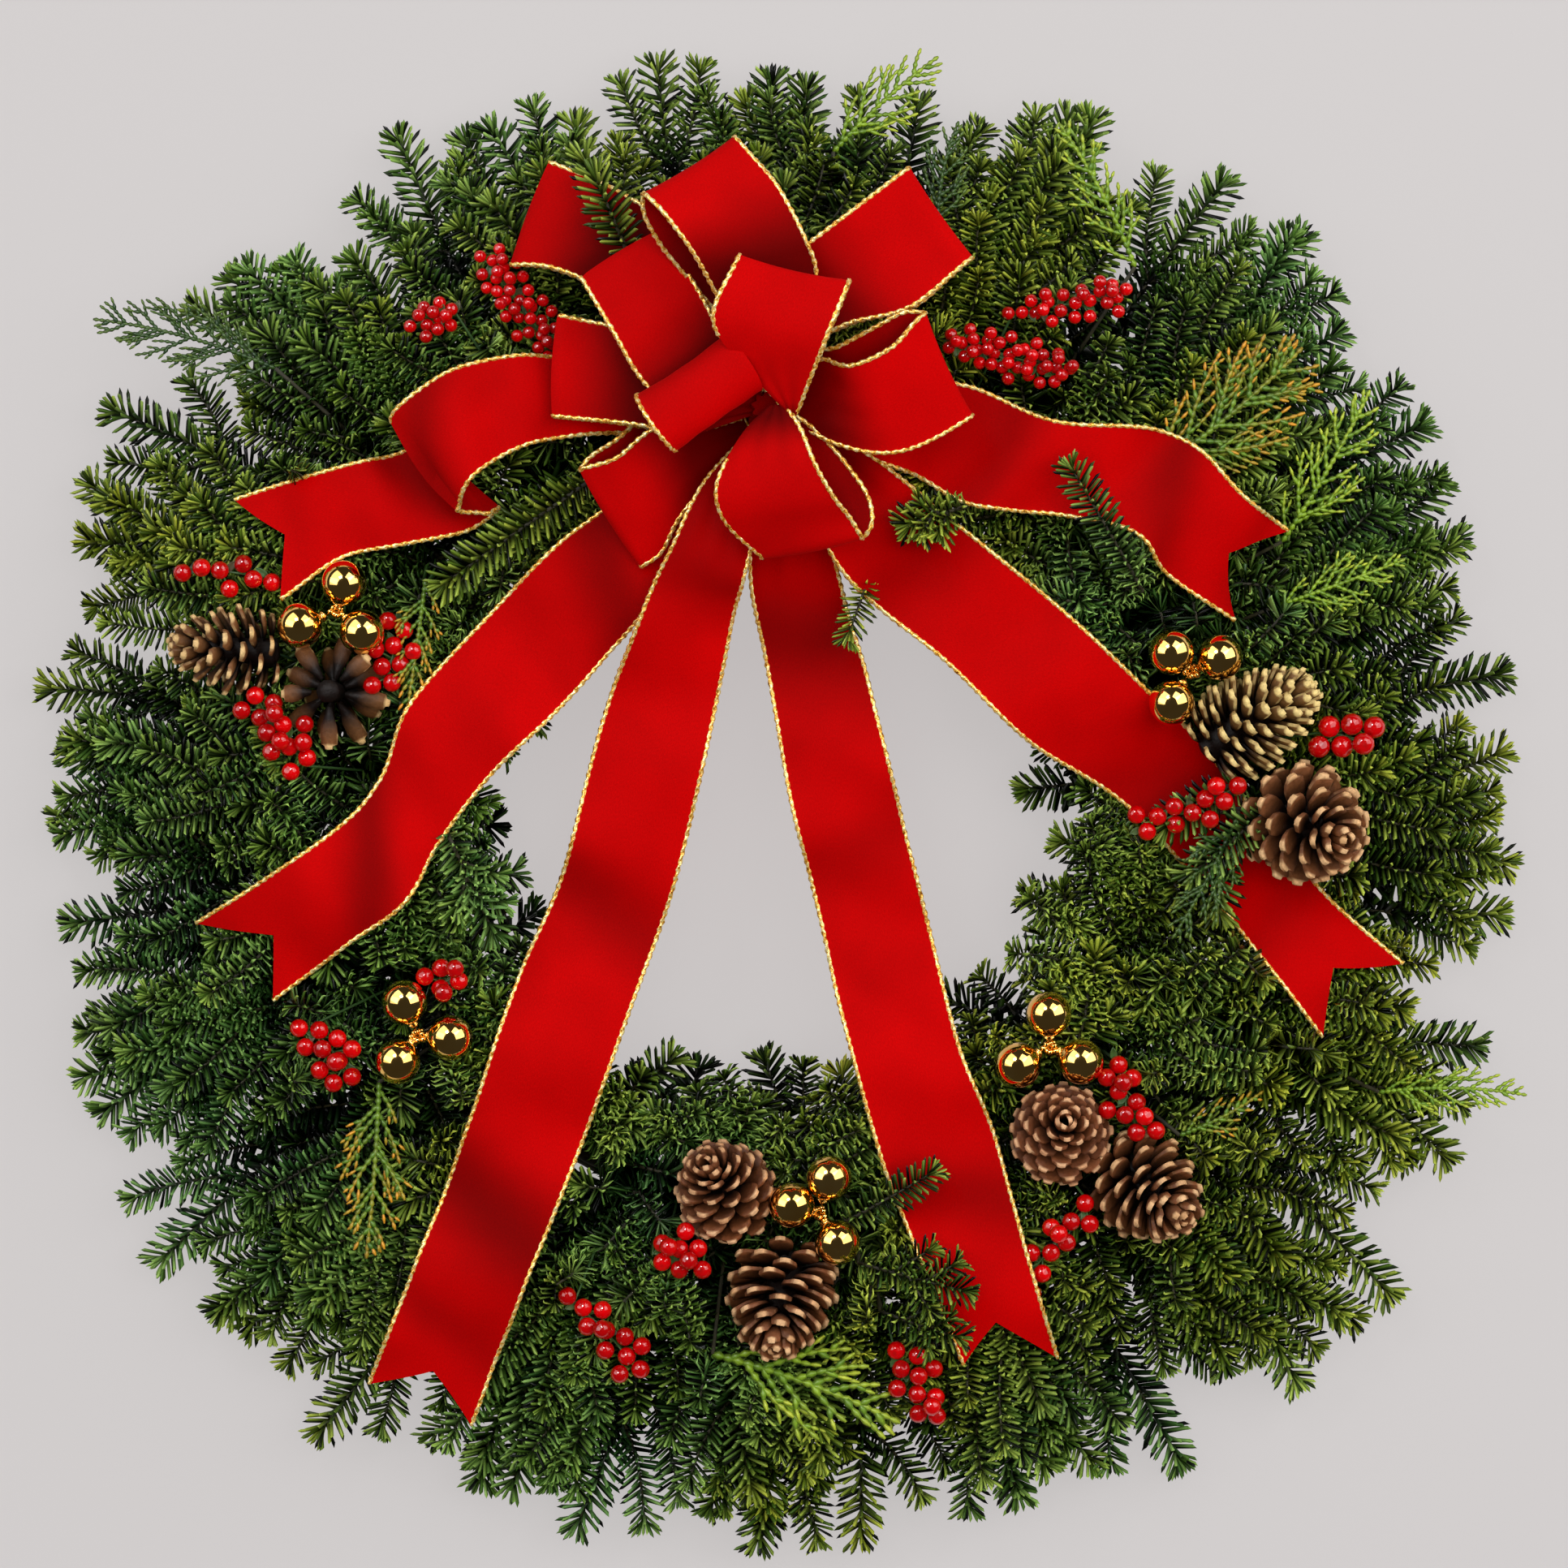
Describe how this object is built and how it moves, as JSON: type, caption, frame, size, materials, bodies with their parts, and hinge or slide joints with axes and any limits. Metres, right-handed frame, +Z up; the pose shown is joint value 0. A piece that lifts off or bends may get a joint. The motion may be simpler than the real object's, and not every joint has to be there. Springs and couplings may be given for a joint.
{
  "type": "fresh evergreen wreath",
  "caption": "Round wreath of fresh fir and cedar on a wire frame, dressed with pine cones, gold balls, red berries and a wired velvet ribbon bow with tails.",
  "frame": {"origin": "centre of the wreath's footprint, on the flat back of its wire frame, with the wreath lying on its back", "axes": "+Z up out of the wreath's face, +Y towards the bow (the top of the wreath when it hangs), +X to the right seen from the front"},
  "size_m": [0.909, 0.914, 0.2254],
  "materials": {
    "frame_wire": "dark green enamelled wire",
    "fir": "fresh fir needles, slightly waxy",
    "cedar_dark": "fresh dark cedar scales",
    "cedar_light": "fresh yellow-green cedar scales with orange tips",
    "ribbon": "red velvet with gold wired edges",
    "cone": "dry woody scales with pale lips",
    "gold": "mirror-bright gold coating",
    "berry": "glossy red berry skin"
  },
  "bodies": {
    "root": {"wire_ring": "frame_wire", "bow_loops": "ribbon", "bow_tie": "frame_wire", "tail_upper_left": "ribbon", "tail_lower_left": "ribbon", "tail_middle_left": "ribbon", "tail_middle_right": "ribbon", "tail_lower_right": "ribbon", "tail_upper_right": "ribbon", "cone_left_outer": "cone", "cone_left_inner": "cone", "cone_right_upper": "cone", "cone_right_lower": "cone", "cone_bottom_upper": "cone", "cone_bottom_lower": "cone", "cone_lower_right_inner": "cone", "cone_lower_right_outer": "cone", "balls_left_upper": "gold", "balls_left_lower": "gold", "balls_bottom": "gold", "balls_right_upper": "gold", "balls_lower_right": "gold", "berries_bow_left": "berry", "berries_bow_left_far": "berry", "berries_bow_right": "berry", "berries_bow_right_far": "berry", "berries_left_far": "berry", "berries_left_upper": "berry", "berries_left_middle": "berry", "berries_left_lower": "berry", "berries_left_low_small": "berry", "berries_bottom_left": "berry", "berries_bottom_far": "berry", "berries_bottom_right": "berry", "berries_right": "berry", "berries_right_far": "berry", "cedar_dark_left": "cedar_dark", "cedar_top": "cedar_light", "cedar_top_right": "cedar_light", "cedar_orange": "cedar_light", "cedar_right": "cedar_light", "cedar_low_right": "cedar_light", "cedar_bottom": "cedar_dark", "cedar_low_left": "cedar_light", "fir_bunch_01": "fir", "fir_bunch_02": "fir", "fir_bunch_03": "fir", "fir_bunch_04": "fir", "fir_bunch_05": "fir", "fir_bunch_06": "fir", "fir_bunch_07": "fir", "fir_bunch_08": "fir", "fir_bunch_09": "fir", "fir_bunch_10": "fir", "fir_bunch_11": "fir", "fir_bunch_12": "fir", "fir_bunch_13": "fir", "fir_bunch_14": "fir", "fir_bunch_15": "fir", "fir_bunch_16": "fir"}
  },
  "joints": []
}
